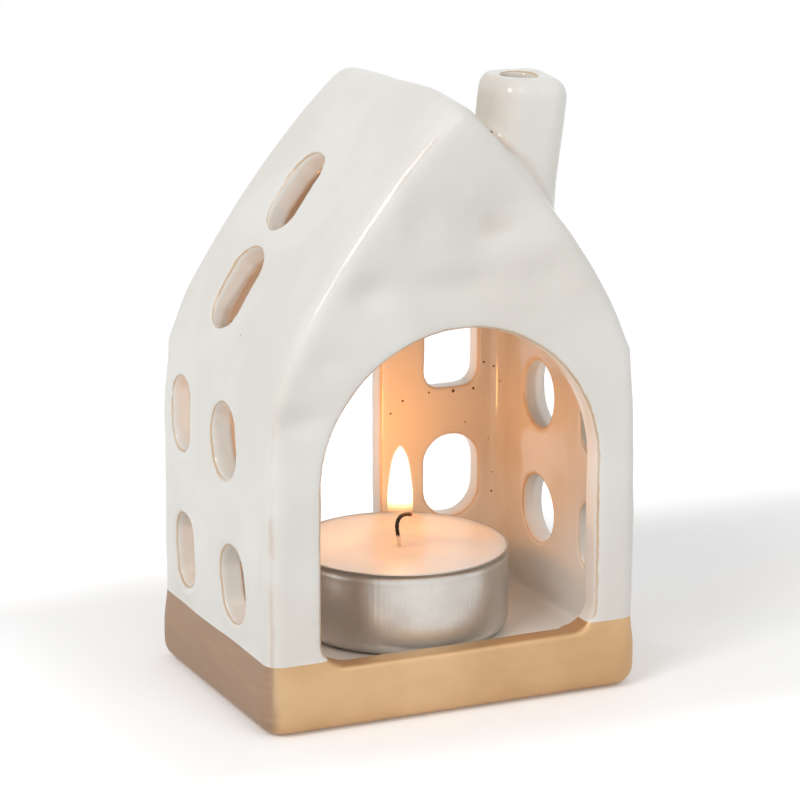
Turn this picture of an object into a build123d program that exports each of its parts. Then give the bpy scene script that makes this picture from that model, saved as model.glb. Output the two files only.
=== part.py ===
from build123d import *
from math import cos, hypot, radians, sin
import os

# A glazed ceramic house, open at the front, with a tealight standing inside it.
# Lengths are millimetres and +Z is up. The arched front looks towards -Y, and the
# origin lies under the middle of the base. The ceramic is drawn as the clay slabs
# it is put together from: each slab meets the next face to face.

# Overall form
house_width = 69.0  # across the front, wall face to wall face
tealight_room = 2.4  # spare depth inside, front to back, round the tealight
base_height = 12.7  # table to the line where the gold ends
left_eave_height = 58.6  # sharp meeting of the left wall and its roof slope
right_eave_height = 60.8
gable_height = 106.3  # sharp meeting of the two slopes
gable_shift = 0.8  # the gable and the arch sit this far right of the middle
roof_crown = 2.3  # rise of a roof slope above the straight line under it
wall_top_drop = 3.0  # joint of a side wall and its roof slab, below the left eave
ridge_radius = 3.2
eave_radius = 16.0
edge_radius = 2.6  # corners and gable edges outside
soft_edge = 0.8  # glazed edges round the arch and the windows

# Clay thicknesses
front_wall_thickness = 5.2
back_wall_thickness = 4.4
side_wall_thickness = 4.5
floor_height = 8.4  # table to the floor inside
chamber_radius = 2.5  # upright corners and gable edges inside
chamber_ridge_radius = 4.0
floor_radius = 1.2  # where the walls meet the floor

# Gold base
base_flare = 0.8  # how far the base stands out from the walls
flare_height = 7.5  # the base is at its widest below this
base_corner_radius = 4.5
base_edge_radius = 3.5  # along the table
foot_width = 6.0  # width of the bare clay foot round the underside
foot_recess = 1.4

# Arched front opening
arch_radius = 25.7
arch_spring_height = 41.6  # centre of the round top
arch_corner_radius = 4.5
sill_drop = 1.3  # the sill lies this far under the line where the gold ends
sill_edge_radius = 1.2  # along the front of the sill
sill_inner_radius = 2.5  # where the sill rolls down to the floor

# Windows in the side walls. Columns are measured along the wall from its middle and
# rows up from the table. The cuts are by hand, so each column has its own width, and
# on the left the upper window of a column stands nearer the back by its stagger.
left_lower_row = 22.6
left_upper_row = 46.9
left_window_height = 12.8
left_front_column = -6.1
left_front_width = 10.2
left_front_stagger = 4.0
left_front_lean = 15.0  # degrees, tops towards the back
left_back_column = 14.5
left_back_width = 7.8
left_back_stagger = 2.0
left_back_lean = 6.0
right_lower_row = 24.7
right_upper_row = 45.8
right_window_height = 12.0
right_front_column = -15.1
right_front_width = 7.6
right_back_column = 5.2
right_back_width = 11.6
window_round_share = 0.488  # corner radius of a window, of its width

# Windows and door in the back wall
back_column = 19.5  # from the middle of the gable
back_lower_row = 27.9
back_upper_row = 52.2
back_lower_width = 10.7
back_upper_width = 10.3
back_window_height = 15.2
back_upper_corner_radius = 3.0
door_width = 11.7
door_shift = -0.5  # the doorway stands this far left of the gable's middle
door_foot_height = 14.2
door_top_height = 60.0

# Roof windows, two up each slope
roof_window_width = 9.8
roof_window_length = 15.0
roof_window_first = 14.1  # up the slope from the eave to the lower window
roof_window_pitch = 19.2
roof_window_back = 6.0  # behind the middle of the house

# Chimney
chimney_width = 13.4
chimney_corner_radius = 4.2
chimney_shoulder_radius = 3.2
chimney_rise = 1.3  # its top, along its middle, above the meeting of the slopes
chimney_side = 16.5  # right of the middle, at the top
chimney_front = 15.4  # in front of the middle
chimney_lean = 6.0  # degrees, outwards
flue_radius = 3.35
flue_shift = 1.2  # the flue lies this far left of the chimney's middle

# Tealight
cup_radius = 19.0
cup_height = 15.0
cup_skin = 0.3
cup_foot_radius = 2.4
rim_bead_radius = 0.35
candle_right = 0.7  # the tealight stands this far right of the middle
candle_gap = 0.15  # wax to cup, all round
wax_below_rim = 0.25
melt_radius = 9.0  # the shallow pool round the wick
melt_depth = 0.45
tab_radius = 6.2
tab_thickness = 0.3
tab_neck_radius = 1.3
tab_neck_height = 3.0
wick_radius = 0.5
wick_stand = 3.8  # straight part above the melt
wick_curl_radius = 1.9
wick_curl_turn = 100.0  # degrees

overrun = 1.0  # how far a cut runs past the clay

house_depth = front_wall_thickness + 2 * cup_radius + tealight_room + back_wall_thickness
wall_top_height = left_eave_height - wall_top_drop
sill_height = base_height - sill_drop
chimney_height = gable_height + chimney_rise
half_width = house_width / 2
half_depth = house_depth / 2
chamber_front = -half_depth + front_wall_thickness
chamber_back = half_depth - back_wall_thickness
front_face = Plane.XZ.offset(half_depth)
front_joint = Plane.XZ.offset(-chamber_front)
back_joint = Plane.XZ.offset(-chamber_back)


def gable_face(foot_height, inset, top_radius, side_radius):
    """The pointed outline of the house from foot_height up, drawn inset from the outside."""
    with BuildSketch() as face:
        with BuildLine():
            left_eave = (-half_width, left_eave_height)
            right_eave = (half_width, right_eave_height)
            apex = (gable_shift, gable_height)
            foot = foot_height - inset
            Line((-half_width, foot), left_eave)
            SagittaArc(left_eave, apex, roof_crown)
            SagittaArc(apex, right_eave, roof_crown)
            Line(right_eave, (half_width, foot))
            Line((half_width, foot), (-half_width, foot))
        make_face()
        if inset > 0:
            offset(amount=-inset, kind=Kind.INTERSECTION, mode=Mode.REPLACE)
        corners = face.vertices().sort_by(Axis.Y)
        fillet(corners[-1], radius=top_radius)
        fillet(corners[2:4], radius=side_radius)
    return face.sketch


def window_face(width, height, lean):
    """One hand cut window with round ends, leaning from the upright."""
    with BuildSketch() as face:
        RectangleRounded(width, height, window_round_share * width, rotation=lean)
    return face.sketch


def arch_edges(face):
    """The edges of a wall face that run round the arched way in."""
    found = []
    for edge in face.edges():
        place = edge.center()
        beside = abs(place.X - gable_shift) < arch_radius + soft_edge
        arch_top = arch_spring_height + arch_radius + soft_edge
        if beside and base_height + soft_edge < place.Z < arch_top:
            found.append(edge)
    return found


def sill_front_edges(edges):
    """The front edge of the sill, between the rounded corners of the arch."""
    found = []
    for edge in edges:
        place = edge.center()
        low = abs(place.Z - sill_height) < soft_edge and place.Y < -half_depth + soft_edge
        if low and abs(place.X - gable_shift) < soft_edge:
            found.append(edge)
    return found


def hole_edges(face):
    """The edges of the holes in a face."""
    return [edge for wire in face.inner_wires() for edge in wire.edges()]


def slope_plane(eave, along, back):
    """Plane on the straight line of a roof slope, facing outwards, its Y axis up the slope."""
    rise = gable_height - eave[1]
    run = gable_shift - eave[0]
    length = hypot(run, rise)
    across = 1 if eave[0] > 0 else -1
    place = (eave[0] + along * run / length, back, eave[1] + along * rise / length)
    return Plane(
        origin=place,
        x_dir=(0, across, 0),
        z_dir=(across * rise / length, 0, abs(run) / length),
    )


# The hollow inside the house
with BuildPart() as chamber:
    with BuildSketch(front_joint):
        add(gable_face(floor_height, side_wall_thickness, chamber_ridge_radius, chamber_ridge_radius))
    extrude(amount=chamber_front - chamber_back)
    ends = chamber.faces().filter_by(Axis.Y).edges()
    floor_line = ends.group_by(Axis.Z)[0]
    fillet([edge for edge in ends if edge not in floor_line], radius=chamber_radius)
    fillet(chamber.faces().sort_by(Axis.Z)[0].edges(), radius=floor_radius)

# The arched way in
with BuildPart() as archway:
    with BuildSketch(Plane.XZ.offset(half_depth + base_flare + overrun)) as arch_face:
        with Locations((gable_shift, (sill_height + arch_spring_height) / 2)):
            Rectangle(2 * arch_radius, arch_spring_height - sill_height)
        fillet(arch_face.vertices().group_by(Axis.Y)[0], radius=arch_corner_radius)
        with Locations((gable_shift, arch_spring_height)):
            Circle(arch_radius)
    extrude(amount=-(base_flare + front_wall_thickness + 2 * overrun))

# Every window, as one set of cutters
with BuildPart() as wall_windows:
    side_reach = side_wall_thickness + 2 * overrun
    with BuildSketch(Plane.YZ.offset(-half_width - overrun)):
        for row, side in ((left_lower_row, -1), (left_upper_row, 1)):
            with Locations((left_front_column + side * left_front_stagger / 2, row)):
                add(window_face(left_front_width, left_window_height, -left_front_lean))
            with Locations((left_back_column + side * left_back_stagger / 2, row)):
                add(window_face(left_back_width, left_window_height, -left_back_lean))
    extrude(amount=side_reach)
    with BuildSketch(Plane.YZ.offset(half_width - side_wall_thickness - overrun)):
        for row in (right_lower_row, right_upper_row):
            with Locations((right_front_column, row)):
                add(window_face(right_front_width, right_window_height, 0))
            with Locations((right_back_column, row)):
                add(window_face(right_back_width, right_window_height, 0))
    extrude(amount=side_reach)

with BuildPart() as back_windows:
    with BuildSketch(Plane.XZ.offset(-half_depth - overrun)) as back_face:
        with Locations((gable_shift + door_shift, (door_foot_height + door_top_height) / 2)):
            add(window_face(door_width, door_top_height - door_foot_height, 0))
        for side in (-back_column, back_column):
            with Locations((gable_shift + side, back_lower_row)):
                add(window_face(back_lower_width, back_window_height, 0))
            with Locations((gable_shift + side, back_upper_row)):
                RectangleRounded(back_upper_width, back_window_height, back_upper_corner_radius)
    extrude(amount=back_wall_thickness + 2 * overrun)

with BuildPart() as roof_windows:
    roof_reach = roof_crown + side_wall_thickness + overrun
    for eave in ((-half_width, left_eave_height), (half_width, right_eave_height)):
        for step in range(2):
            plane = slope_plane(eave, roof_window_first + step * roof_window_pitch, roof_window_back)
            with BuildSketch(plane):
                add(window_face(roof_window_width, roof_window_length, 0))
            extrude(amount=roof_reach, both=True)

# The flue, and the plane across the top of the leaning chimney
lean_axis = (sin(radians(chimney_lean)), 0, cos(radians(chimney_lean)))
chimney_top = Plane(
    origin=(chimney_side, -chimney_front, chimney_height),
    x_dir=(cos(radians(chimney_lean)), 0, -sin(radians(chimney_lean))),
    z_dir=lean_axis,
)
chimney_drop = chimney_height - left_eave_height
with BuildPart() as flue:
    with BuildSketch(chimney_top.offset(overrun)):
        with Locations((-flue_shift, 0)):
            Circle(flue_radius)
    extrude(amount=-chimney_drop)

# The whole clay house above the gold line, before it is parted into its slabs
with BuildPart() as house_outside:
    with BuildSketch(front_face):
        add(gable_face(base_height, 0, ridge_radius, eave_radius))
    extrude(amount=-house_depth)
    ends = house_outside.faces().filter_by(Axis.Y).edges()
    foot_line = ends.group_by(Axis.Z)[0]
    fillet([edge for edge in ends if edge not in foot_line], radius=edge_radius)

with BuildPart() as shell:
    add(house_outside.part)
    add(chamber.part, mode=Mode.SUBTRACT)
    add(archway.part, mode=Mode.SUBTRACT)
    add(wall_windows.part, mode=Mode.SUBTRACT)
    add(back_windows.part, mode=Mode.SUBTRACT)
    add(roof_windows.part, mode=Mode.SUBTRACT)
    add(flue.part, mode=Mode.SUBTRACT)

# Front wall: the full gable with the arch in it
with BuildPart() as front_wall:
    add(shell.part)
    split(bisect_by=front_joint, keep=Keep.TOP)
    fillet(arch_edges(front_wall.faces().sort_by(Axis.Y)[0]), radius=soft_edge)
    fillet(arch_edges(front_wall.faces().sort_by(Axis.Y)[-1]), radius=soft_edge)
front_wall.part.label = "front_wall"

# Back wall: the full gable with four windows and a tall doorway
with BuildPart() as back_wall:
    add(shell.part)
    split(bisect_by=back_joint, keep=Keep.BOTTOM)
    fillet(hole_edges(back_wall.faces().sort_by(Axis.Y)[-1]), radius=soft_edge)
back_wall.part.label = "back_wall"

# The slabs between the gables
with BuildPart() as left_wall:
    add(shell.part)
    split(bisect_by=front_joint, keep=Keep.BOTTOM)
    split(bisect_by=back_joint, keep=Keep.TOP)
    split(bisect_by=Plane.XY.offset(wall_top_height), keep=Keep.BOTTOM)
    split(bisect_by=Plane.YZ, keep=Keep.BOTTOM)
    fillet(hole_edges(left_wall.faces().sort_by(Axis.X)[0]), radius=soft_edge)
left_wall.part.label = "left_wall"

with BuildPart() as right_wall:
    add(shell.part)
    split(bisect_by=front_joint, keep=Keep.BOTTOM)
    split(bisect_by=back_joint, keep=Keep.TOP)
    split(bisect_by=Plane.XY.offset(wall_top_height), keep=Keep.BOTTOM)
    split(bisect_by=Plane.YZ, keep=Keep.TOP)
    fillet(hole_edges(right_wall.faces().sort_by(Axis.X)[-1]), radius=soft_edge)
right_wall.part.label = "right_wall"

with BuildPart() as left_roof:
    add(shell.part)
    split(bisect_by=front_joint, keep=Keep.BOTTOM)
    split(bisect_by=back_joint, keep=Keep.TOP)
    split(bisect_by=Plane.XY.offset(wall_top_height), keep=Keep.TOP)
    split(bisect_by=Plane.YZ.offset(gable_shift), keep=Keep.BOTTOM)
left_roof.part.label = "left_roof"

with BuildPart() as right_roof:
    add(shell.part)
    split(bisect_by=front_joint, keep=Keep.BOTTOM)
    split(bisect_by=back_joint, keep=Keep.TOP)
    split(bisect_by=Plane.XY.offset(wall_top_height), keep=Keep.TOP)
    split(bisect_by=Plane.YZ.offset(gable_shift), keep=Keep.TOP)
right_roof.part.label = "right_roof"

# Chimney: a soft square tube that leans outwards and is luted onto the right slope
with BuildPart() as chimney:
    with BuildSketch(chimney_top):
        RectangleRounded(chimney_width, chimney_width, chimney_corner_radius)
    extrude(amount=-chimney_drop)
    fillet(chimney.faces().sort_by(Axis.Z)[-1].edges(), radius=chimney_shoulder_radius)
    add(house_outside.part, mode=Mode.SUBTRACT)
    add(chamber.part, mode=Mode.SUBTRACT)
    add(flue.part, mode=Mode.SUBTRACT)
    split(bisect_by=Plane.XY.offset(right_eave_height), keep=Keep.TOP)
chimney.part.label = "chimney"

# What is taken off the back of the sill, so that it rolls down to the floor
with BuildPart() as sill_roll:
    roll_start = chamber_front - sill_inner_radius
    roll_end = sill_height - sill_inner_radius
    roll_reach = chamber_front + floor_radius
    with BuildSketch(Plane.YZ.offset(gable_shift)):
        with BuildLine():
            RadiusArc((roll_start, sill_height), (chamber_front, roll_end), sill_inner_radius)
            Polyline(
                (chamber_front, roll_end),
                (chamber_front, floor_height),
                (roll_reach, floor_height),
                (roll_reach, sill_height + overrun),
                (roll_start, sill_height + overrun),
                (roll_start, sill_height),
            )
        make_face()
    extrude(amount=arch_radius - arch_corner_radius, both=True)

# Gold base: the floor and the low rim that the walls stand on
with BuildPart() as gold_base:
    base_width = house_width + 2 * base_flare
    base_depth = house_depth + 2 * base_flare
    with BuildSketch():
        RectangleRounded(base_width, base_depth, base_corner_radius)
    extrude(amount=flare_height)
    fillet(gold_base.faces().sort_by(Axis.Z)[0].edges(), radius=base_edge_radius)
    with BuildSketch(Plane.XY.offset(flare_height)):
        RectangleRounded(base_width, base_depth, base_corner_radius)
    with BuildSketch(Plane.XY.offset(base_height)):
        RectangleRounded(house_width, house_depth, edge_radius)
    loft()
    add(chamber.part, mode=Mode.SUBTRACT)
    add(archway.part, mode=Mode.SUBTRACT)
    add(sill_roll.part, mode=Mode.SUBTRACT)
    fillet(sill_front_edges(gold_base.edges()), radius=sill_edge_radius)
    with BuildSketch():
        RectangleRounded(house_width - 2 * foot_width, house_depth - 2 * foot_width, base_corner_radius)
    extrude(amount=foot_recess, mode=Mode.SUBTRACT)
gold_base.part.label = "gold_base"

# Tealight: pressed cup, wax, and a wick crimped into its foot
cup_top = floor_height + cup_height
cup_bore = cup_radius - cup_skin
wax_radius = cup_bore - candle_gap
wax_foot = floor_height + cup_skin
wax_top = cup_top - wax_below_rim
melt_floor = wax_top - melt_depth
tab_top = wax_foot + tab_thickness
candle_plane = Plane(origin=(candle_right, 0, 0), x_dir=(1, 0, 0), z_dir=(0, -1, 0))
candle_axis = Axis((candle_right, 0, 0), (0, 0, 1))

with BuildPart() as candle_cup:
    with BuildSketch(Plane(origin=(candle_right, 0, floor_height))):
        Circle(cup_radius)
    extrude(amount=cup_height)
    fillet(candle_cup.edges().group_by(Axis.Z)[0], radius=cup_foot_radius)
    offset(amount=-cup_skin, openings=candle_cup.faces().sort_by(Axis.Z)[-1])
    with BuildSketch(candle_plane):
        with Locations((cup_bore + rim_bead_radius, cup_top - rim_bead_radius)):
            Circle(rim_bead_radius)
    revolve(axis=candle_axis)
candle_cup.part.label = "candle_cup"

with BuildPart() as wick_tab:
    with BuildSketch(Plane(origin=(candle_right, 0, wax_foot))):
        Circle(tab_radius)
        Circle(wick_radius, mode=Mode.SUBTRACT)
    extrude(amount=tab_thickness)
    with BuildSketch(Plane(origin=(candle_right, 0, tab_top))):
        Circle(tab_neck_radius)
        Circle(wick_radius, mode=Mode.SUBTRACT)
    extrude(amount=tab_neck_height)
wick_tab.part.label = "wick_tab"

with BuildPart() as wick:
    with BuildLine(candle_plane) as wick_path:
        bend = (0, melt_floor + wick_stand)
        Line((0, wax_foot), bend)
        JernArc(start=bend, tangent=(0, 1), radius=wick_curl_radius, arc_size=-wick_curl_turn)
    with BuildSketch(Plane(origin=(candle_right, 0, wax_foot))):
        Circle(wick_radius)
    sweep(path=wick_path.wire())
wick.part.label = "wick"

with BuildPart() as candle_wax:
    with BuildSketch(candle_plane):
        with BuildLine():
            Line((0, melt_floor), (0, wax_foot))
            Line((0, wax_foot), (wax_radius, wax_foot))
            Line((wax_radius, wax_foot), (wax_radius, wax_top))
            Line((wax_radius, wax_top), (melt_radius, wax_top))
            TangentArc((0, melt_floor), (melt_radius, wax_top), tangent=(1, 0))
        make_face()
    revolve(axis=candle_axis)
    fillet(candle_wax.edges().group_by(Axis.Z)[0], radius=cup_foot_radius)
    add(wick_tab.part, mode=Mode.SUBTRACT)
    add(wick.part, mode=Mode.SUBTRACT)
candle_wax.part.label = "candle_wax"

os.makedirs("parts", exist_ok=True)
export_step(front_wall.part, "parts/front_wall.step")
export_step(back_wall.part, "parts/back_wall.step")
export_step(left_wall.part, "parts/left_wall.step")
export_step(right_wall.part, "parts/right_wall.step")
export_step(left_roof.part, "parts/left_roof.step")
export_step(right_roof.part, "parts/right_roof.step")
export_step(chimney.part, "parts/chimney.step")
export_step(gold_base.part, "parts/gold_base.step")
export_step(candle_cup.part, "parts/candle_cup.step")
export_step(candle_wax.part, "parts/candle_wax.step")
export_step(wick.part, "parts/wick.step")
export_step(wick_tab.part, "parts/wick_tab.step")
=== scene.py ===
import bpy
import bmesh
import math
import numpy as np
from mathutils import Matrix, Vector, noise


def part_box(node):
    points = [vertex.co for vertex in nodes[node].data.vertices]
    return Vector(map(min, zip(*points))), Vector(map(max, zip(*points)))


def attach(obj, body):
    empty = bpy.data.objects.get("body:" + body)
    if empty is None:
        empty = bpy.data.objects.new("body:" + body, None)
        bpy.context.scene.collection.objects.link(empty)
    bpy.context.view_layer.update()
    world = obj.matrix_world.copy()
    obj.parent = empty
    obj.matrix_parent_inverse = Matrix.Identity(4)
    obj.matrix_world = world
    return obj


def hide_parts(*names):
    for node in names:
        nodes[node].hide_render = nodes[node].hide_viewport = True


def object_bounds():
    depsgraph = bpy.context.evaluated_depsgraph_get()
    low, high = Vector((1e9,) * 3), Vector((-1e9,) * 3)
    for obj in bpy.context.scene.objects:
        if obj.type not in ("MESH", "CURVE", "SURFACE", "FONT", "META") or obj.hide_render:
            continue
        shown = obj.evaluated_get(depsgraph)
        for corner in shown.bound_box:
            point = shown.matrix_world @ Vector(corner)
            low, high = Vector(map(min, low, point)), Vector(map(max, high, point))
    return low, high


# A glazed ceramic tealight house on a gold base, with a lit tealight inside it.
# Lengths are metres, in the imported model's frame: +Z up, the arch towards -Y.

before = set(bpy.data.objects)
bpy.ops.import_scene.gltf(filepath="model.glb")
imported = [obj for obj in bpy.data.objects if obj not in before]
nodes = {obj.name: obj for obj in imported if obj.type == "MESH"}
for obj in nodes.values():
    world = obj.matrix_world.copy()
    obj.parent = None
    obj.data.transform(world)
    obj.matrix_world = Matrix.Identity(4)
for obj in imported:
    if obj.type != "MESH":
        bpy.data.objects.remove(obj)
cad_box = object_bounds()
MM = 0.001

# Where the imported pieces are
base_low, base_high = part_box("gold_base")
wall_low, wall_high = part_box("left_wall")
cup_low, cup_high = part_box("candle_cup")
wax_low, wax_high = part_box("candle_wax")
front_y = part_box("front_wall")[0].y
back_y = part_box("back_wall")[1].y
gold_line = base_high.z
floor_z = cup_low.z
chamber_front = wall_low.y
chamber_back = wall_high.y
SIDE_WALL = 4.5 * MM
chamber_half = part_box("right_wall")[1].x - SIDE_WALL
candle_x = (cup_low.x + cup_high.x) / 2
candle_y = (cup_low.y + cup_high.y) / 2

# The roof: where its slopes would meet, how steep they are, and the flue's mouth
gable_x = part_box("left_roof")[1].x
GABLE_TOP = 106.3 * MM
ROOF_SLOPE = 1.33
CHIMNEY_LEAN = 6.0  # degrees
FLUE_X, FLUE_Y = 15.2 * MM, -15.4 * MM

# The house is fused from copies of its slabs
VOXEL = 0.45 * MM
SEAM = 0.4 * MM
ROUNDING_PASSES = 5
SOFT_SPOT_PASSES = 14 * ROUNDING_PASSES


def linear(*srgb):
    """A colour read as 0 to 255, as Blender's linear colour with full alpha."""
    shares = [c / 255 for c in srgb]
    return tuple(s / 12.92 if s <= 0.04045 else ((s + 0.055) / 1.055) ** 2.4 for s in shares) + (1.0,)


def new_object(name, mesh, smooth=True):
    """Links a mesh to the scene as an object."""
    piece = bpy.data.objects.new(name, mesh)
    bpy.context.scene.collection.objects.link(piece)
    if smooth:
        mesh.polygons.foreach_set("use_smooth", [True] * len(mesh.polygons))
    return piece


def points_of(mesh):
    """A mesh's vertices as an array."""
    flat = np.empty(len(mesh.vertices) * 3)
    mesh.vertices.foreach_get("co", flat)
    return flat.reshape(-1, 3)


def set_points(mesh, points):
    """Moves a mesh's vertices to an array of places."""
    mesh.vertices.foreach_set("co", points.ravel())
    mesh.update()


def normals_of(mesh):
    """A mesh's vertex normals as an array."""
    flat = np.empty(len(mesh.vertices) * 3, np.float32)
    mesh.vertex_normals.foreach_get("vector", flat)
    return flat.reshape(-1, 3).astype(float)


def edges_of(mesh):
    """A mesh's edges as an array of vertex pairs."""
    flat = np.empty(len(mesh.edges) * 2, np.int32)
    mesh.edges.foreach_get("vertices", flat)
    return flat.reshape(-1, 2)


def averaged(values, edges, passes, weight=None):
    """Values smoothed over a mesh's edges, half way to the neighbours' mean at each pass."""
    out = values.copy()
    count = np.bincount(edges.ravel(), minlength=len(out)).astype(float)
    count[count == 0] = 1
    one, two = edges[:, 0], edges[:, 1]
    share = 0.5 if weight is None else 0.5 * weight[:, None]
    for _ in range(passes):
        mean = np.empty_like(out)
        for k in range(out.shape[1]):
            total = np.bincount(one, out[two, k], len(out)) + np.bincount(two, out[one, k], len(out))
            mean[:, k] = total / count
        out += share * (mean - out)
    return out


def add_attribute(mesh, name, values):
    """Stores one number a vertex for the shaders."""
    attribute = mesh.attributes.new(name, "FLOAT", "POINT")
    attribute.data.foreach_set("value", values.astype(np.float32))


def bell(points, centre, radii):
    """A soft bump of height one about a centre, with its own reach along each axis."""
    away = (points - np.array(centre)) / np.array(radii)
    return np.exp(-(away ** 2).sum(1))


# Shader helpers

def new_material(name):
    """A material with its Principled shader and its node tree."""
    material = bpy.data.materials.new(name)
    material.use_nodes = True
    tree = material.node_tree
    return material, tree, tree.nodes["Principled BSDF"]


def add_node(tree, kind, links=(), **settings):
    """Adds a node, sets its properties, and fills or links its inputs by name or number."""
    made = tree.nodes.new(kind)
    for key, value in settings.items():
        setattr(made, key, value)
    for key, value in dict(links).items():
        if isinstance(value, bpy.types.NodeSocket):
            tree.links.new(value, made.inputs[key])
        else:
            made.inputs[key].default_value = value
    return made


def place_of(tree):
    """The point's place in its own mesh, in metres."""
    return add_node(tree, "ShaderNodeTexCoord").outputs["Object"]


def noise_of(tree, scale, detail=2.0, rough=0.5, vector=None):
    """Soft noise, from 0 to 1, with its scale in waves a metre."""
    vector = place_of(tree) if vector is None else vector
    links = {"Vector": vector, "Scale": scale, "Detail": detail, "Roughness": rough}
    return add_node(tree, "ShaderNodeTexNoise", links).outputs["Fac"]


def ranged(tree, value, low, high, to_low=0.0, to_high=1.0):
    """A value brought from one range to another, held at its ends."""
    links = {"Value": value, "From Min": low, "From Max": high, "To Min": to_low, "To Max": to_high}
    return add_node(tree, "ShaderNodeMapRange", links, interpolation_type="SMOOTHSTEP").outputs["Result"]


def maths(tree, operation, one, two=0.0):
    """One step of arithmetic."""
    return add_node(tree, "ShaderNodeMath", {0: one, 1: two}, operation=operation).outputs[0]


def product(tree, *shares):
    """Several shares multiplied together."""
    out = shares[0]
    for share in shares[1:]:
        out = maths(tree, "MULTIPLY", out, share)
    return out


def greatest(tree, *values):
    """The greatest of several values."""
    out = values[0]
    for value in values[1:]:
        out = maths(tree, "MAXIMUM", out, value)
    return out


def mixed(tree, share, one, two):
    """A colour between two colours."""
    made = add_node(tree, "ShaderNodeMix", {0: share, 6: one, 7: two}, data_type="RGBA")
    return made.outputs[2]


def attribute_of(tree, name):
    """A number stored at the vertices."""
    return add_node(tree, "ShaderNodeAttribute", attribute_name=name).outputs["Fac"]


def bumped(tree, height, distance, strength=1.0):
    """A normal that follows a height."""
    links = {"Height": height, "Distance": distance, "Strength": strength}
    return add_node(tree, "ShaderNodeBump", links).outputs["Normal"]


def split_place(tree):
    """The point's x, y and z."""
    return add_node(tree, "ShaderNodeSeparateXYZ", {0: place_of(tree)}).outputs


# Materials

GLAZE = linear(238, 236, 230)
GLAZE_SHADE = linear(232, 228, 220)
HOLLOW_SHADE_GLAZE = linear(206, 198, 186)
LUTE_SHADE = linear(205, 186, 168)
TAN = linear(206, 174, 138)
ROSE = linear(214, 198, 184)
FRONT_GOLD = linear(218, 184, 142)
DARK_GOLD = linear(200, 163, 120)
PALE_GOLD = linear(230, 202, 162)
SHADED_GOLD = linear(166, 137, 114)


def inside_share(tree):
    """One on the walls of the hollow, nought on the outside, soft through the openings."""
    x, y, z = split_place(tree)[:3]
    across = maths(tree, "ABSOLUTE", maths(tree, "SUBTRACT", x, gable_x))
    slope_line = maths(tree, "ADD", z, maths(tree, "MULTIPLY", across, ROOF_SLOPE))
    half = chamber_half + gable_x
    between_sides = ranged(tree, across, half + 0.2 * MM, half + 1.2 * MM, 1.0, 0.0)
    past_front = ranged(tree, y, chamber_front - 1.2 * MM, chamber_front - 0.2 * MM)
    before_back = ranged(tree, y, chamber_back + 0.2 * MM, chamber_back + 1.2 * MM, 1.0, 0.0)
    below_roof = ranged(tree, slope_line, GABLE_TOP - 3.6 * MM, GABLE_TOP - 1.8 * MM, 1.0, 0.0)
    return product(tree, between_sides, past_front, before_back, below_roof)


def line_at(tree, name, level, core, reach, breakup):
    """A thin line where a stored number passes a level, slightly uneven in its place."""
    uneven_level = ranged(tree, breakup, 0.3, 0.7, level - 0.04, level + 0.04)
    away = maths(tree, "SUBTRACT", attribute_of(tree, name), uneven_level)
    return ranged(tree, maths(tree, "ABSOLUTE", away), core, reach, 1.0, 0.0)


def glaze_colours(tree):
    """The glaze's colour: soft clouds, painted shade inside the hollow and along the chimney's lute line and
    left side, beige on the front's folds, tan at edges.
    """
    clouds = ranged(tree, noise_of(tree, 45.0, 3.0), 0.35, 0.65)
    colour = mixed(tree, clouds, GLAZE, GLAZE_SHADE)
    height = split_place(tree)[2]
    # Painted shade: the walls of the hollow are darker and warmer higher up, fading out towards its floor
    thin = product(tree, inside_share(tree), ranged(tree, height, 19.0 * MM, 34.0 * MM))
    colour = mixed(tree, thin, colour, HOLLOW_SHADE_GLAZE)
    # Painted shade along the chimney's lute line and on its left side
    colour = mixed(tree, product(tree, attribute_of(tree, "painted_shade"), 0.7), colour, LUTE_SHADE)
    breakup = noise_of(tree, 500.0, 3.0, 0.6)
    patches = noise_of(tree, 90.0, 2.0)
    fold = product(tree, line_at(tree, "front", 0.7, 0.02, 0.2, breakup), attribute_of(tree, "outline"),
                   ranged(tree, patches, 0.35, 0.6, 0.1, 0.6))
    colour = mixed(tree, fold, colour, ROSE)
    edge = product(tree, line_at(tree, "turn", 0.7, 0.07, 0.22, breakup), attribute_of(tree, "rim"),
                   ranged(tree, patches, 0.3, 0.6, 0.55, 0.95))
    return mixed(tree, edge, colour, TAN)


def make_glaze():
    """Glossy off-white glaze over fired clay."""
    material, tree, shader = new_material("glaze")
    tree.links.new(glaze_colours(tree), shader.inputs["Base Color"])
    shader.inputs["Roughness"].default_value = 0.16
    shader.inputs["IOR"].default_value = 1.5
    ripple = noise_of(tree, 260.0, 2.0)
    tree.links.new(bumped(tree, ripple, 0.06 * MM, 0.6), shader.inputs["Normal"])
    return material


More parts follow.
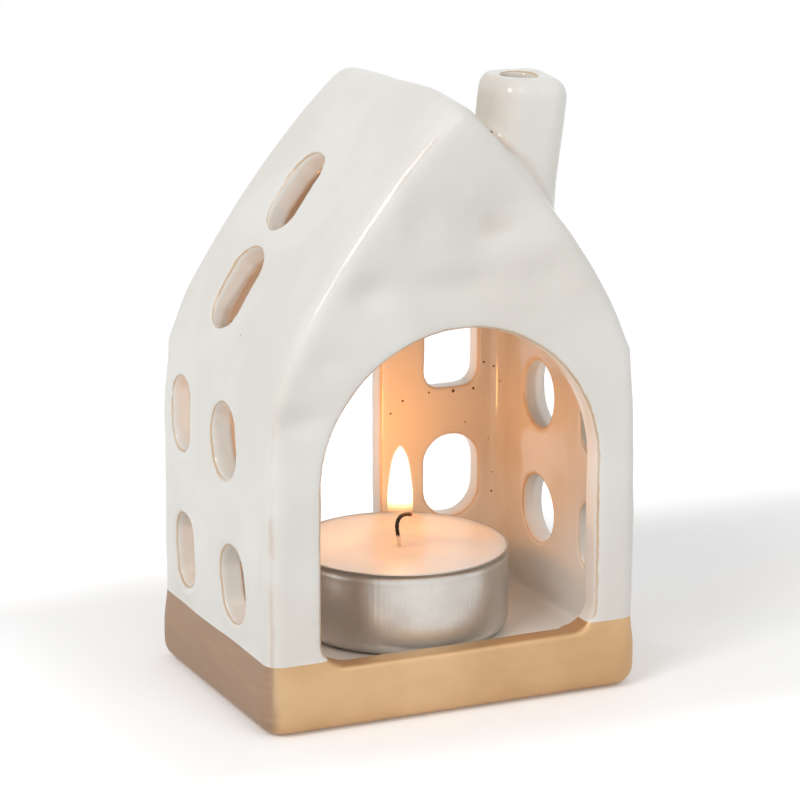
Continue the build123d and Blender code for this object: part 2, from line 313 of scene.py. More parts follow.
def make_base_finish():
    """Matte brushed gold outside and on the sill, glaze on the floor inside."""
    material, tree, shader = new_material("gold_lustre")
    x, y, z = split_place(tree)[:3]
    stretch = add_node(tree, "ShaderNodeMapping", {0: place_of(tree), "Scale": (0.6, 0.6, 10.0)}).outputs[0]
    strokes = noise_of(tree, 160.0, 5.0, 0.65, stretch)
    clouds = noise_of(tree, 50.0, 3.0)
    gold = mixed(tree, ranged(tree, clouds, 0.3, 0.7), FRONT_GOLD, DARK_GOLD)
    # Painted shade: the gold's left side is darker and pinker
    left_side_shade = ranged(tree, x, base_low.x + 1.0 * MM, base_low.x + 3.0 * MM, 1.0, 0.0)
    gold = mixed(tree, left_side_shade, gold, SHADED_GOLD)
    gold = mixed(tree, ranged(tree, strokes, 0.4, 0.7, 0.0, 0.14), gold, PALE_GOLD)
    # A painted highlight: a pale line down the front-left corner of the gold
    painted_corner_highlight = product(tree, line_at(tree, "front", 0.84, 0.0, 0.15, clouds),
                   ranged(tree, x, -0.86 * base_high.x, -0.94 * base_high.x),
                   ranged(tree, z, 4.0 * MM, 7.0 * MM, 0.0, 0.3))
    gold = mixed(tree, painted_corner_highlight, gold, PALE_GOLD)
    edge_x = chamber_half + 1.2 * MM
    inside = product(tree, ranged(tree, y, chamber_front - 1.0 * MM, chamber_front - 0.8 * MM),
                     ranged(tree, y, chamber_back + 1.0 * MM, chamber_back + 1.2 * MM, 1.0, 0.0),
                     ranged(tree, maths(tree, "ABSOLUTE", x), edge_x, edge_x + 0.2 * MM, 1.0, 0.0),
                     ranged(tree, z, floor_z - 1.0 * MM, floor_z - 0.8 * MM))
    colour = mixed(tree, inside, gold, glaze_colours(tree))
    tree.links.new(colour, shader.inputs["Base Color"])
    tree.links.new(ranged(tree, inside, 0.0, 1.0, 0.85, 0.0), shader.inputs["Metallic"])
    rough = ranged(tree, strokes, 0.3, 0.7, 0.42, 0.55)
    rough = add_node(tree, "ShaderNodeMix", {0: inside, 2: rough, 3: 0.16}).outputs[0]
    tree.links.new(rough, shader.inputs["Roughness"])
    tree.links.new(bumped(tree, strokes, 0.03 * MM, 0.35), shader.inputs["Normal"])
    return material


def make_cup_foil():
    """Thin pressed aluminium with fine upright wrinkles."""
    material, tree, shader = new_material("cup_foil")
    shader.inputs["Metallic"].default_value = 1.0
    spot = add_node(tree, "ShaderNodeVectorMath", {0: place_of(tree), 1: (candle_x, candle_y, 0.0)},
                    operation="SUBTRACT").outputs[0]
    x, y, z = add_node(tree, "ShaderNodeSeparateXYZ", {0: spot}).outputs[:3]
    turn = maths(tree, "ARCTAN2", y, x)
    round_it = add_node(tree, "ShaderNodeCombineXYZ", {0: turn, 2: maths(tree, "MULTIPLY", z, 8.0)}).outputs[0]
    lines = noise_of(tree, 64.0, 3.0, 0.7, round_it)
    clouds = noise_of(tree, 150.0, 3.0)
    colour = mixed(tree, ranged(tree, clouds, 0.3, 0.7), linear(207, 203, 198), linear(196, 191, 185))
    colour = mixed(tree, ranged(tree, lines, 0.4, 0.7, 0.0, 0.2), colour, linear(172, 168, 164))
    tree.links.new(colour, shader.inputs["Base Color"])
    tree.links.new(ranged(tree, clouds, 0.3, 0.7, 0.33, 0.4), shader.inputs["Roughness"])
    tree.links.new(bumped(tree, lines, 0.03 * MM, 0.25), shader.inputs["Normal"])
    return material


def make_wax():
    """Warm translucent paraffin wax."""
    material, tree, shader = new_material("wax")
    clouds = noise_of(tree, 80.0, 2.0)
    colour = mixed(tree, ranged(tree, clouds, 0.3, 0.7), linear(255, 250, 244), linear(252, 246, 238))
    tree.links.new(colour, shader.inputs["Base Color"])
    shader.inputs["Roughness"].default_value = 0.28
    shader.inputs["Subsurface Weight"].default_value = 0.6
    shader.inputs["Subsurface Radius"].default_value = (4.0 * MM, 2.2 * MM, 1.2 * MM)
    shader.inputs["Subsurface Scale"].default_value = 1.0
    tree.links.new(bumped(tree, noise_of(tree, 400.0, 2.0), 0.02 * MM, 0.5), shader.inputs["Normal"])
    return material


def make_wick():
    """Charred cotton, still pale where it stands in the melt, with a glowing tip."""
    material, tree, shader = new_material("wick_cotton")
    x, _, z = split_place(tree)[:3]
    char = ranged(tree, z, wax_high.z + 1.2 * MM, wax_high.z + 1.9 * MM)
    colour = mixed(tree, char, linear(250, 222, 190), linear(34, 24, 22))
    tree.links.new(colour, shader.inputs["Base Color"])
    ember = ranged(tree, x, candle_x + 1.5 * MM, candle_x + 2.1 * MM)
    shader.inputs["Emission Color"].default_value = linear(235, 120, 80)
    tree.links.new(maths(tree, "MULTIPLY", ember, 0.45), shader.inputs["Emission Strength"])
    shader.inputs["Roughness"].default_value = 0.85
    tree.links.new(bumped(tree, noise_of(tree, 3000.0, 3.0), 0.1 * MM), shader.inputs["Normal"])
    return material


def make_tin():
    """Tinned steel of the wick's tab."""
    material, tree, shader = new_material("tab_steel")
    shader.inputs["Metallic"].default_value = 1.0
    grain = noise_of(tree, 900.0, 3.0)
    colour = mixed(tree, grain, linear(190, 190, 190), linear(160, 160, 160))
    tree.links.new(colour, shader.inputs["Base Color"])
    tree.links.new(ranged(tree, grain, 0.3, 0.7, 0.3, 0.5), shader.inputs["Roughness"])
    return material


def make_iron():
    """Dark iron specks in the glaze."""
    material, tree, shader = new_material("iron_speck")
    colour = mixed(tree, noise_of(tree, 2000.0), linear(70, 40, 24), linear(120, 72, 44))
    tree.links.new(colour, shader.inputs["Base Color"])
    shader.inputs["Roughness"].default_value = 0.25
    return material


def make_flame(name, strength, low_share, cover):
    """A flame's shell: white hot above, clear at its foot."""
    material, tree, shader = new_material(name)
    tree.nodes.remove(shader)
    z = split_place(tree)[2]
    rise = ranged(tree, z, FLAME_FOOT + 0.04 * (FLAME_TIP - FLAME_FOOT),
                  FLAME_FOOT + low_share * (FLAME_TIP - FLAME_FOOT))
    colour = mixed(tree, rise, linear(255, 170, 90), linear(255, 240, 214))
    light = add_node(tree, "ShaderNodeEmission", {"Color": colour, "Strength": strength}).outputs[0]
    clear = add_node(tree, "ShaderNodeBsdfTransparent").outputs[0]
    share = maths(tree, "MULTIPLY", rise, cover)
    both = add_node(tree, "ShaderNodeMixShader", {0: share, 1: clear, 2: light}).outputs[0]
    tree.links.new(both, tree.nodes["Material Output"].inputs["Surface"])
    return material


# The ceramic

def copy_of(node, pushes=(), shift=None):
    """A copy of a slab whose joint faces are pushed a little into what they meet."""
    mesh = nodes[node].data.copy()
    points = points_of(mesh)
    for axis, place, step in pushes:
        points[np.abs(points[:, axis] - place) < 0.01 * MM, axis] += step
    if shift is not None:
        points += np.array(shift)
    set_points(mesh, points)
    return mesh


def fused_mesh():
    """One skin round all the slabs of the ceramic, from a fine voxel grid."""
    ends = [(1, chamber_front, -SEAM), (1, chamber_back, SEAM)]
    wall_ends = ends + [(2, gold_line, -SEAM), (2, wall_high.z, SEAM)]
    parts = [
        copy_of("gold_base"),
        copy_of("front_wall", [(2, gold_line, -SEAM)]),
        copy_of("back_wall", [(2, gold_line, -SEAM)]),
        copy_of("left_wall", wall_ends),
        copy_of("right_wall", wall_ends),
        copy_of("left_roof", ends + [(0, gable_x, SEAM)]),
        copy_of("right_roof", ends + [(0, gable_x, -SEAM)]),
        copy_of("chimney"),
        copy_of("chimney", shift=(-0.1 * SEAM, 0.0, -SEAM)),
    ]
    joined = bmesh.new()
    for part in parts:
        joined.from_mesh(part)
        bpy.data.meshes.remove(part)
    bmesh.ops.remove_doubles(joined, verts=joined.verts, dist=0.001 * MM)
    mesh = bpy.data.meshes.new("ceramic_soup")
    joined.to_mesh(mesh)
    joined.free()
    source = new_object("ceramic_source", mesh)
    remesh = source.modifiers.new("remesh", "REMESH")
    remesh.mode = "VOXEL"
    remesh.voxel_size = VOXEL
    remesh.adaptivity = 0.0
    seen = source.evaluated_get(bpy.context.evaluated_depsgraph_get())
    fused = bpy.data.meshes.new_from_object(seen)
    bpy.data.objects.remove(source)
    return fused


# Soft dents pressed into the front: place, reach and depth, in millimetres
DENTS = [
    ((6.6, -25.0, 84.6), (7.4, 3.0, 5.6), 2.1),
    ((-15.6, -25.0, 75.0), (3.8, 3.0, 3.2), 1.3),
    ((2.0, -25.0, 75.0), (9.0, 3.0, 3.0), 1.1),
    ((-28.6, -25.0, 54.3), (4.4, 3.0, 2.6), 1.1),
    ((16.0, -25.0, 75.0), (5.0, 3.0, 4.0), 0.8),
    ((-6.4, -25.0, 86.0), (3.6, 3.0, 5.0), 0.8),
    ((-24.0, -25.0, 64.0), (3.0, 3.0, 3.0), 0.5),
]

# The two eaves' corners in millimetres, and how far they are worn down
EAVES = [(-34.5, 0.0, 58.6), (34.5, 0.0, 60.8)]
EAVE_SOFTENING = 1.2 * MM
WAVE_HEIGHT = 0.26 * MM
FLUE_NARROWING = 0.4 * MM


def hand_shaped(points, normals):
    """The uneven surface of hand-pressed clay under thick glaze."""
    out = points.copy()

    # The ridge rises in front and falls away behind
    back = np.clip((points[:, 1] - 6.0 * MM) / (19.0 * MM), 0, 1)
    crown = 0.95 * MM * np.exp(-((points[:, 1] + 7.0 * MM) / (13.0 * MM)) ** 2) - 0.65 * MM * back ** 2
    height = np.clip((points[:, 2] - wall_high.z) / (cad_box[1].z - wall_high.z), 0, 1)
    out[:, 2] += crown * height ** 2 * (np.abs(points[:, 0] - 0.8 * MM) < 30 * MM)

    # Waves, dents and worn eaves
    wave = np.array([noise.noise(Vector(p) * 62.0) + 0.5 * noise.noise(Vector(p) * 140.0) for p in points])
    above = np.clip((points[:, 2] - floor_z) / (4.0 * MM), 0, 1)
    out += normals * (WAVE_HEIGHT * wave * above)[:, None]
    for centre, reach, depth in DENTS:
        facing = np.clip(-normals[:, 1], 0, 1)
        press = bell(points, np.array(centre) * MM, np.array(reach) * MM) * facing
        out[:, 1] += depth * MM * press
    for corner in EAVES:
        soft = bell(points, np.array(corner) * MM, (5.0 * MM, 1.0, 7.5 * MM))
        facing = np.clip(np.sign(corner[0]) * normals[:, 0], 0, 1)
        out -= normals * (EAVE_SOFTENING * soft * facing)[:, None]

    # Thick glaze narrows the flue's mouth
    aside = points[:, :2] - np.array((FLUE_X, FLUE_Y))
    around = np.maximum(np.hypot(aside[:, 0], aside[:, 1]), 0.1 * MM)
    mouth = np.exp(-((cad_box[1].z - points[:, 2]) / (5.0 * MM)) ** 2)
    mouth *= np.clip((5.2 * MM - around) / (1.6 * MM), 0, 1)
    out[:, :2] -= aside / around[:, None] * (FLUE_NARROWING * mouth)[:, None]
    return out


def shade_marks(mesh):
    """Numbers for the glaze: where it runs thin over edges and corners, and where shade is painted in round
    the chimney.
    """
    points, edges = points_of(mesh), edges_of(mesh)
    normals = averaged(normals_of(mesh), edges, 2)
    normals /= np.linalg.norm(normals, axis=1)[:, None]
    x, y, z = points.T
    wide = np.abs(x)
    slope_line = z + ROOF_SLOPE * np.abs(x - gable_x)
    roof_facing = np.abs(ROOF_SLOPE * np.sign(x - gable_x) * normals[:, 0] + normals[:, 2])
    roof_facing /= math.hypot(ROOF_SLOPE, 1.0)

    # How squarely each vertex faces away from its wall
    in_ends = (y < chamber_front + 0.6 * MM) | (y > chamber_back - 0.6 * MM)
    in_roof = z > wall_high.z + 1.5 * MM
    at_eave = (z > wall_high.z - 1.5 * MM) & (z < wall_high.z + 6.5 * MM)
    side_facing = np.where(in_roof, roof_facing, np.abs(normals[:, 0]))
    side_facing = np.where(at_eave, np.maximum(roof_facing, np.abs(normals[:, 0])), side_facing)
    turn = np.where(in_ends, np.abs(normals[:, 1]), side_facing)

    # Where rims may show: not on the outer edges, the chimney, the hollow's back corners or the gold
    at_chimney = (x > 5.0 * MM) * (y < -5.0 * MM) * (slope_line > GABLE_TOP - 9.0 * MM)
    back_corner = (y > chamber_back - 3.4 * MM) * (wide > chamber_half - 3.4 * MM)
    back_corner = back_corner * (wide < chamber_half + 0.3 * MM)
    rim = 1.0 - in_ends * np.clip((wide - 31.0 * MM) / MM, 0, 1)
    rim *= 1.0 - in_ends * np.clip((slope_line - GABLE_TOP + 9.0 * MM) / MM, 0, 1)
    rim *= 1.0 - np.clip((z - 93.0 * MM) / (2.0 * MM), 0, 1)
    rim *= 1.0 - at_chimney
    rim *= 1.0 - back_corner
    rim *= np.clip((z - gold_line - 0.3 * MM) / (0.5 * MM), 0, 1)
    turn = np.where(rim < 0.5, 1.0, turn)

    # The flue's rim
    lean = math.radians(CHIMNEY_LEAN)
    flue_facing = np.abs(normals[:, 0] * math.sin(lean) + normals[:, 2] * math.cos(lean))
    at_flue = (np.hypot(x - FLUE_X, y - FLUE_Y) < 4.3 * MM) * (z > cad_box[1].z - 3.5 * MM)
    add_attribute(mesh, "turn", np.where(at_flue, flue_facing, turn))
    add_attribute(mesh, "rim", np.where(at_flue, 1.0, rim))

    # The front's left corner and the fold beside the top of its gable
    in_front = y < front_y + 3.4 * MM
    corner = in_front * np.clip((-x - 31.2 * MM) / MM, 0, 1) * (z > gold_line)
    fold = in_front * np.clip((slope_line - GABLE_TOP + 3.6 * MM) / MM, 0, 1)
    fold *= np.clip((gable_x - 3.0 * MM - x) / (4.0 * MM), 0, 1) * np.clip((z - 80.0 * MM) / (12.0 * MM), 0, 1)
    low_corner = corner * np.clip((58.0 * MM - z) / (8.0 * MM), 0, 1)
    add_attribute(mesh, "front", -normals[:, 1])
    add_attribute(mesh, "outline", np.clip(low_corner + fold, 0, 1))

    # Painted shade along the hollow line where the chimney is luted on, and on the chimney's left side
    passes = 6
    height = ((points - averaged(points, edges, passes)) * normals).sum(1) / MM
    fine = averaged(height[:, None], edges, 2)[:, 0]
    top = np.clip((z - wall_high.z - 20 * MM) / (8 * MM), 0, 1)
    outside = (np.abs(x - 15 * MM) < 11 * MM) * (y < -5 * MM)
    painted_shade = np.clip((-fine - 0.015) / 0.03, 0, 1) * top * outside
    shady_side = np.clip(-1.4 * normals[:, 0], 0, 1) * (x > 5 * MM) * (y < -5 * MM)
    shady_side *= np.clip((slope_line - GABLE_TOP - 3 * MM) / (4 * MM), 0, 1)
    add_attribute(mesh, "painted_shade", np.maximum(painted_shade, 0.5 * shady_side))


def cut_at(mesh, height, keep_above):
    """The part of a closed mesh above or below a level, closed again across the cut."""
    part = bmesh.new()
    part.from_mesh(mesh)
    whole = part.verts[:] + part.edges[:] + part.faces[:]
    bmesh.ops.bisect_plane(part, geom=whole, dist=0.0001 * MM, plane_co=(0, 0, height), plane_no=(0, 0, 1),
                           clear_inner=keep_above, clear_outer=not keep_above)
    rim = [edge for edge in part.edges if edge.is_boundary]
    for edge in rim:
        edge.smooth = False
    bmesh.ops.triangle_fill(part, edges=rim, use_beauty=False)
    bmesh.ops.recalc_face_normals(part, faces=part.faces[:])
    out = bpy.data.meshes.new(mesh.name + "_part")
    part.to_mesh(out)
    part.free()
    return out


def make_ceramic():
    """The house above its gold line, and the gold base, cut from one fused skin."""
    mesh = fused_mesh()
    edges = edges_of(mesh)
    points = averaged(points_of(mesh), edges, ROUNDING_PASSES)
    apex = bell(points, (gable_x, front_y, 104 * MM), (8 * MM, 6 * MM, 7 * MM))
    rear = bell(points, (gable_x, back_y, 104 * MM), (9 * MM, 8 * MM, 7 * MM))
    lute = bell(points, (14 * MM, -16 * MM, 92 * MM), (9 * MM, 9 * MM, 6 * MM))
    points = averaged(points, edges, SOFT_SPOT_PASSES, np.maximum(np.maximum(apex, rear), lute))
    set_points(mesh, points)
    points = hand_shaped(points, normals_of(mesh))
    points = averaged(points, edges, 2)
    low, high = np.array(cad_box[0]), np.array(cad_box[1])
    set_points(mesh, np.clip(points, low, high))
    shade_marks(mesh)
    house = new_object("ceramic_house", cut_at(mesh, gold_line, True))
    base = new_object("gold_base_ware", cut_at(mesh, gold_line, False))
    bpy.data.meshes.remove(mesh)
    house.data.materials.append(make_glaze())
    base.data.materials.append(make_base_finish())
    slabs = ["front_wall", "back_wall", "left_wall", "right_wall", "left_roof", "right_roof", "chimney"]
    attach(house, "house")
    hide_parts(*slabs)
    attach(base, "house")
    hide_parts("gold_base")
    return house


# Iron specks, each on the skin nearest to its place: place and radius, in millimetres
SPECKS = [
    ((26.7, 20.3, 48.5), 0.22), ((28.4, 20.0, 47.6), 0.2), ((24.6, 20.6, 43.8), 0.24),
    ((20.6, 20.6, 43.7), 0.32), ((15.8, 20.6, 43.9), 0.2), ((10.6, 20.6, 42.9), 0.22),
    ((8.2, 20.6, 40.8), 0.2), ((23.0, 20.6, 37.6), 0.15), ((29.6, 19.6, 44.9), 0.14),
    ((28.2, 20.0, 24.0), 0.2), ((28.3, 20.0, 27.6), 0.12), ((-30.8, 1.8, 66.9), 0.18),
    ((-33.2, -4.0, 66.0), 0.1), ((27.6, 20.0, 34.0), 0.12), ((6.9, -22.8, 100.2), 0.3),
]


def make_specks(house):
    """Small dark domes of iron that came through the glaze."""
    spots = bmesh.new()
    for place, radius in SPECKS:
        _, spot, facing, _ = house.closest_point_on_mesh(Vector(place) * MM)
        add_dome(spots, spot, facing, radius * MM)
    mesh = bpy.data.meshes.new("iron_specks")
    spots.to_mesh(mesh)
    spots.free()
    specks = new_object("iron_specks", mesh)
    specks.data.materials.append(make_iron())
    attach(specks, "house")


def add_dome(spots, centre, facing, radius):
    """A low closed dome on a wall."""
    turn = Vector((0, 0, 1)).rotation_difference(facing).to_matrix().to_4x4()
    made = bmesh.ops.create_uvsphere(spots, u_segments=12, v_segments=8, radius=radius)["verts"]
    for vertex in made:
        vertex.co.z *= 0.6
        vertex.co = centre + turn @ vertex.co


# The tealight

def lathe(name, profile, steps, wobble=None):
    """A closed solid of revolution about the candle's axis, from (radius, z) points."""
    made = bmesh.new()
    rings = []
    for radius, z in profile:
        if radius < 0.001 * MM:
            rings.append([made.verts.new((candle_x, candle_y, z))])
            continue
        ring = []
        for k in range(steps):
            turn = 2 * math.pi * k / steps
            out = radius + (wobble(turn, radius, z) if wobble else 0.0)
            ring.append(made.verts.new((candle_x + out * math.cos(turn), candle_y + out * math.sin(turn), z)))
        rings.append(ring)
    for one, two in zip(rings, rings[1:]):
        for k in range(steps):
            after = (k + 1) % steps
            if len(one) == 1:
                made.faces.new((one[0], two[k], two[after]))
            elif len(two) == 1:
                made.faces.new((one[k], one[after], two[0]))
            else:
                made.faces.new((one[k], two[k], two[after], one[after]))
    bmesh.ops.recalc_face_normals(made, faces=made.faces[:])
    mesh = bpy.data.meshes.new(name)
    made.to_mesh(mesh)
    made.free()
    return new_object(name, mesh)


def arc(centre, radius, start, stop, count):
    """Points of an arc in (radius, z), by degrees."""
    turns = [math.radians(start + (stop - start) * k / count) for k in range(count + 1)]
    return [(centre[0] + radius * math.cos(t), centre[1] + radius * math.sin(t)) for t in turns]


CUP_SKIN = 0.3 * MM
CUP_FOOT = 2.4 * MM
BEAD = 0.12 * MM
PACKED_BEAD = 0.35 * MM
CUP_RADIUS = (cup_high.x - cup_low.x) / 2 - 2 * PACKED_BEAD + CUP_SKIN


def cup_wobble(turn, radius, z):
    """Upright pleats of pressed foil, which fade at the rim and the foot."""
    if radius < CUP_RADIUS - 1.2 * MM:
        return 0.0
    fade = min(1.0, (cup_high.z - z) / (1.5 * MM), max(0.0, (z - cup_low.z) / (2.0 * MM)))
    spot = Vector((math.cos(turn), math.sin(turn), 0.0))
    pleat = noise.noise(spot * 38.0 + Vector((0, 0, z * 60))) * 0.6 + noise.noise(spot * 90.0) * 0.4
    return 0.03 * MM * fade * pleat


def make_cup():
    """The pressed aluminium cup, with a rolled rim."""
    bottom, top = cup_low.z, cup_high.z
    outside = arc((CUP_RADIUS - CUP_FOOT, bottom + CUP_FOOT), CUP_FOOT, -90, 0, 8)
    rise = top - bottom - CUP_FOOT - 2.0 * MM
    wall = [(CUP_RADIUS, bottom + CUP_FOOT + rise * k / 12) for k in range(1, 13)]
    wall += [(CUP_RADIUS + 0.04 * MM, top - 1.75 * MM), (CUP_RADIUS + 0.01 * MM, top - 1.4 * MM)]
    bead_centre = (CUP_RADIUS - CUP_SKIN + BEAD, top - BEAD)
    bead = arc(bead_centre, BEAD, -120, 150, 10)
    inner = CUP_RADIUS - CUP_SKIN
    inside = [(inner, top - 1.0 * MM), (inner, bottom + CUP_FOOT)]
    inside += arc((CUP_RADIUS - CUP_FOOT, bottom + CUP_FOOT), CUP_FOOT - CUP_SKIN, 0, -90, 6)
    profile = [(0.0, bottom)] + outside + wall + bead + inside + [(0.0, bottom + CUP_SKIN)]
    cup = lathe("tealight_cup", profile, 720, cup_wobble)
    cup.data.materials.append(make_cup_foil())
    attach(cup, "tealight_cup")
    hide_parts("candle_cup")


def make_wax_body():
    """The wax, with a shallow melt round its wick."""
    radius = CUP_RADIUS - CUP_SKIN - 0.02 * MM
    bottom, top = wax_low.z, wax_high.z
    climb = 0.22 * MM
    foot = arc((radius - CUP_FOOT, bottom + CUP_FOOT), CUP_FOOT, -90, 0, 8)
    side = [(radius, bottom + CUP_FOOT + (top + climb - bottom - CUP_FOOT) * k / 4) for k in range(1, 5)]
    surface = []
    for k in range(1, 60):
        share = 1 - k / 60
        sink = 0.42 * MM * (1 - min(1.0, share / 0.62) ** 2) ** 2
        surface.append((radius * share, top - sink + climb * max(0.0, (share - 0.94) / 0.06) ** 2))
    profile = [(0.0, bottom)] + foot + side + surface + [(0.0, top - 0.42 * MM)]
    wax = lathe("candle_wax_body", profile, 160)
    wax.data.materials.append(make_wax())
    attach(wax, "wax_candle")
    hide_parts("candle_wax")


def tube(name, path, radii, sides):
    """A closed tube along a smooth path of points."""
    made = bmesh.new()
    rings = []
    across = Vector((0, 1, 0))
    for k, point in enumerate(path):
        before, after = path[max(k - 1, 0)], path[min(k + 1, len(path) - 1)]
        along = (after - before).normalized()
        up = across.cross(along).normalized()
        side = along.cross(up).normalized()
        ring = []
        for n in range(sides):
            turn = 2 * math.pi * n / sides
            out = radii[k] * (up * math.cos(turn) + side * math.sin(turn))
            ring.append(made.verts.new(point + out))
        rings.append(ring)
    for one, two in zip(rings, rings[1:]):
        for n in range(sides):
            after = (n + 1) % sides
            made.faces.new((one[n], one[after], two[after], two[n]))
    made.faces.new(rings[0])
    made.faces.new(rings[-1])
    bmesh.ops.recalc_face_normals(made, faces=made.faces[:])
    mesh = bpy.data.meshes.new(name)
    made.to_mesh(mesh)
    made.free()
    return new_object(name, mesh)


# The wick's line in the candle's front plane: (right, z) in millimetres from the axis and the wax's top
WICK_LINE = [(0.0, -14.0), (0.0, -2.0), (-0.1, 0.0), (-0.4, 1.6), (-0.6, 3.0), (-0.45, 4.2), (0.15, 5.0),
             (0.9, 5.25), (1.7, 5.2), (2.35, 5.0)]


def smooth_line(points, count):
    """Points along a Catmull-Rom curve through the given points."""
    out = []
    ends = [points[0]] + points + [points[-1]]
    for a, b, c, d in zip(ends, ends[1:], ends[2:], ends[3:]):
        for k in range(count):
            t = k / count
            out.append(0.5 * ((2 * b) + (c - a) * t + (2 * a - 5 * b + 4 * c - d) * t * t
                              + (3 * b - a - 3 * c + d) * t ** 3))
    out.append(points[-1])
    return out


def make_wick_cord():
    """The curled wick, thinner and rougher towards its tip."""
    line = [Vector((candle_x + x * MM, candle_y, wax_high.z + z * MM)) for x, z in WICK_LINE]
    line[0].z = max(line[0].z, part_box("wick")[0].z)
    path = smooth_line(line, 8)
    radii = []
    for k, point in enumerate(path):
        share = k / (len(path) - 1)
        rough = 1 + 0.16 * noise.noise(point * 2600.0)
        taper = min(1.0, (1.02 - share) * 14)
        radii.append(0.35 * MM * rough * max(0.25, taper))
    wick = tube("candle_wick", path, radii, 12)
    wick.data.materials.append(make_wick())
    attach(wick, "wax_candle")
    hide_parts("wick")


FLAME_FOOT = 28.2 * MM
FLAME_TIP = 40.8 * MM
FLAME_SHARES = [(0.0, 0.85), (0.05, 0.95), (0.15, 1.0), (0.28, 0.99), (0.4, 0.93), (0.53, 0.83), (0.68, 0.72),
                (0.82, 0.57), (0.91, 0.38), (0.97, 0.17), (1.0, 0.0)]


def make_flame_shell(name, radius, strength, low_share, cover, rise):
    """One shell of the flame."""
    path = smooth_line([Vector((share * radius, 0, height)) for height, share in FLAME_SHARES], 3)
    height = FLAME_TIP + rise - FLAME_FOOT
    profile = [(0.0, FLAME_FOOT)] + [(max(p.x, 0.0), FLAME_FOOT + p.z * height) for p in path[:-1]]
    profile.append((0.0, FLAME_FOOT + height))
    shell = lathe(name, profile, 48)
    shell.data.materials.append(make_flame(name, strength, low_share, cover))
    shell.visible_shadow = False
    shell.visible_diffuse = False
    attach(shell, "wax_candle")


# The candle's lamps: back right, back left, front left and front right, and one at its heart
LAMP_HEIGHT = 35.5 * MM
SIDE_ENERGIES = (0.0052, 0.0038, 0.0018, 0.0006)
SIDE_TILT = 24  # degrees up
HEART_ENERGY = 0.0034
CANDLE_COLOUR = (1.0, 0.39, 0.07)


def hang_lamp(name, lamp, energy):
    """Puts one of the candle's lamps in its flame."""
    lamp.energy = energy
    lamp.color = CANDLE_COLOUR
    holder = bpy.data.objects.new(name, lamp)
    bpy.context.scene.collection.objects.link(holder)
    holder.location = (candle_x, candle_y, LAMP_HEIGHT)
    holder.visible_camera = False
    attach(holder, "wax_candle")
    return holder


def make_candle_light():
    """The warm light of a tall thin flame, which shines to the sides and hardly down."""
    for quarter, energy in enumerate(SIDE_ENERGIES):
        turn = math.radians(45 + 90 * quarter)
        facing = Vector((math.cos(turn), math.sin(turn), math.tan(math.radians(SIDE_TILT))))
        lamp = bpy.data.lights.new("flame_side", "AREA")
        lamp.shape = "RECTANGLE"
        lamp.size, lamp.size_y = 2.4 * MM, 8.0 * MM
        holder = hang_lamp("flame_side_" + str(quarter + 1), lamp, energy)
        holder.rotation_euler = facing.to_track_quat("-Z", "Y").to_euler()
    lamp = bpy.data.lights.new("flame_heart", "POINT")
    lamp.shadow_soft_size = 2.0 * MM
    hang_lamp("flame_heart", lamp, HEART_ENERGY)


# Camera, floor and light

def make_camera():
    """The photograph's camera, fitted to the house's outline."""
    data = bpy.data.cameras.new("camera")
    camera = bpy.data.objects.new("camera", data)
    bpy.context.scene.collection.objects.link(camera)
    azimuth, elevation, roll = math.radians(-24.48), math.radians(15.05), math.radians(0.1)
    distance = 652.3 * MM
    target = Vector((0.64, 0.0, 49.26)) * MM
    back = Vector((math.sin(azimuth) * math.cos(elevation), -math.cos(azimuth) * math.cos(elevation),
                   math.sin(elevation)))
    camera.location = target + back * distance
    turned = (-back).to_track_quat("-Z", "Y").to_matrix().to_4x4()
    camera.rotation_euler = turned.to_euler()
    camera.rotation_euler.rotate_axis("Z", roll)
    data.sensor_width = 36.0
    data.lens = 3757.25 / 800 * 36.0
    data.clip_start, data.clip_end = 0.01, 20.0
    bpy.context.scene.camera = camera


def seen_directly(tree):
    """One for camera, mirror and glass rays, nought for the light that falls on the object."""
    path = add_node(tree, "ShaderNodeLightPath").outputs
    return greatest(tree, path["Is Camera Ray"], path["Is Glossy Ray"], path["Is Transmission Ray"])


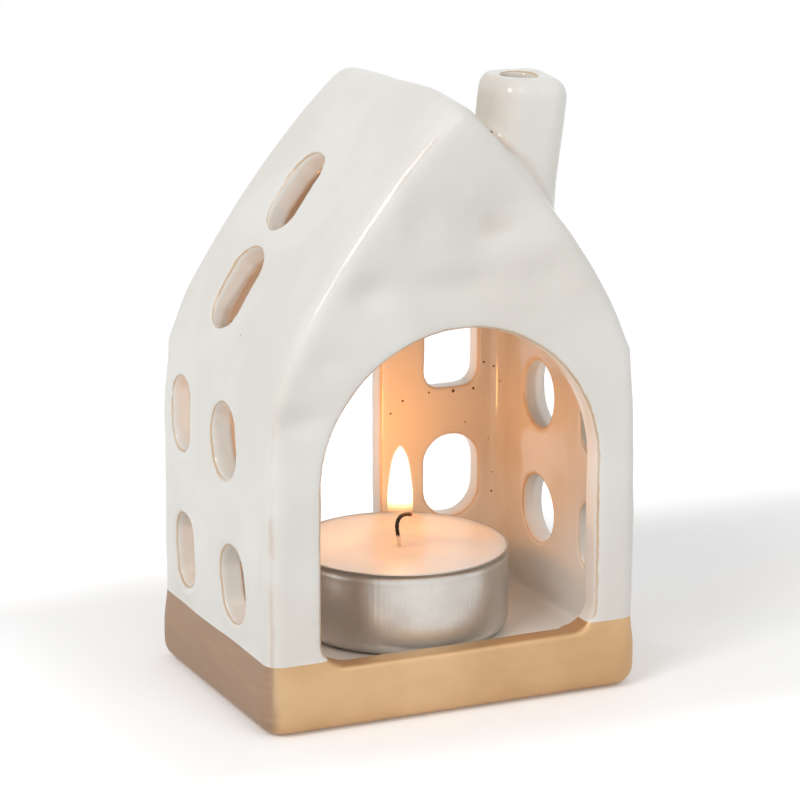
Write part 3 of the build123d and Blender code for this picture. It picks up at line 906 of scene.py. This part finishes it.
def make_floor():
    """A plain white floor that keeps the object's shadow."""
    mesh = bpy.data.meshes.new("floor")
    half = 3.0
    corners = [(-half, -half, 0), (half, -half, 0), (half, half, 0), (-half, half, 0)]
    mesh.from_pydata(corners, [], [(0, 1, 2, 3)])
    floor = new_object("floor", mesh, smooth=False)
    material, tree, shader = new_material("floor")
    seen = seen_directly(tree)
    x, y = split_place(tree)[:2]
    away = maths(tree, "SQRT", maths(tree, "ADD", product(tree, x, x), product(tree, y, y)))
    # Painted light: the floor's glow whitens it away from the house, behind it and in front; near the house
    # the glow is weaker, which leaves painted shade round it
    painted_floor_light = greatest(tree, ranged(tree, away, 0.12, 0.4), ranged(tree, y, 0.045, 0.09),
                          ranged(tree, y, -0.027, -0.06, 0.0, 0.8), ranged(tree, x, -0.037, -0.08, 0.0, 0.6))
    glow = ranged(tree, painted_floor_light, 0.0, 1.0, 0.13, 0.38)
    colour = mixed(tree, seen, (0.84, 0.84, 0.84, 1.0), (0.98, 0.98, 0.98, 1.0))
    tree.links.new(colour, shader.inputs["Base Color"])
    shader.inputs["Roughness"].default_value = 0.9
    shader.inputs["Specular IOR Level"].default_value = 0.0
    shader.inputs["Emission Color"].default_value = (1.0, 1.0, 1.0, 1.0)
    tree.links.new(maths(tree, "MULTIPLY", seen, glow), shader.inputs["Emission Strength"])
    floor.data.materials.append(material)


def make_world():
    """Even pale light, seen as white."""
    world = bpy.data.worlds.new("world")
    bpy.context.scene.world = world
    world.use_nodes = True
    tree = world.node_tree
    background = tree.nodes["Background"]
    background.inputs["Color"].default_value = (1.0, 1.0, 1.0, 1.0)
    strength = ranged(tree, seen_directly(tree), 0.0, 1.0, 0.56, 1.0)
    tree.links.new(strength, background.inputs["Strength"])


def make_softbox(name, place, aim, size, power):
    """A plain area light."""
    lamp = bpy.data.lights.new(name, "AREA")
    lamp.shape = "RECTANGLE"
    lamp.size, lamp.size_y = size
    lamp.energy = power
    holder = bpy.data.objects.new(name, lamp)
    bpy.context.scene.collection.objects.link(holder)
    holder.location = place
    holder.rotation_euler = (Vector(aim) - Vector(place)).to_track_quat("-Z", "Y").to_euler()


scene = bpy.context.scene
scene.view_settings.view_transform = "Standard"

make_camera()
make_world()
make_floor()
make_softbox("key", (-0.64, -0.38, 0.717), (0, 0, 0.05), (0.35, 0.35), 2.76)
make_softbox("strip", (-0.7, -0.35, 0.67), (0, 0, 0.05), (0.1, 0.45), 0.3)
make_softbox("fill", (0.1, -0.7, 0.75), (0, 0, 0.05), (0.6, 0.6), 1.3)
make_specks(make_ceramic())
make_cup()
make_wax_body()
make_wick_cord()
make_flame_shell("flame_core", 2.2 * MM, 5.0, 0.45, 1.0, 0.0)
make_flame_shell("flame_glow", 2.5 * MM, 1.2, 0.6, 0.3, 0.4 * MM)
make_candle_light()
nodes["wick_tab"].data.materials.clear()
nodes["wick_tab"].data.materials.append(make_tin())
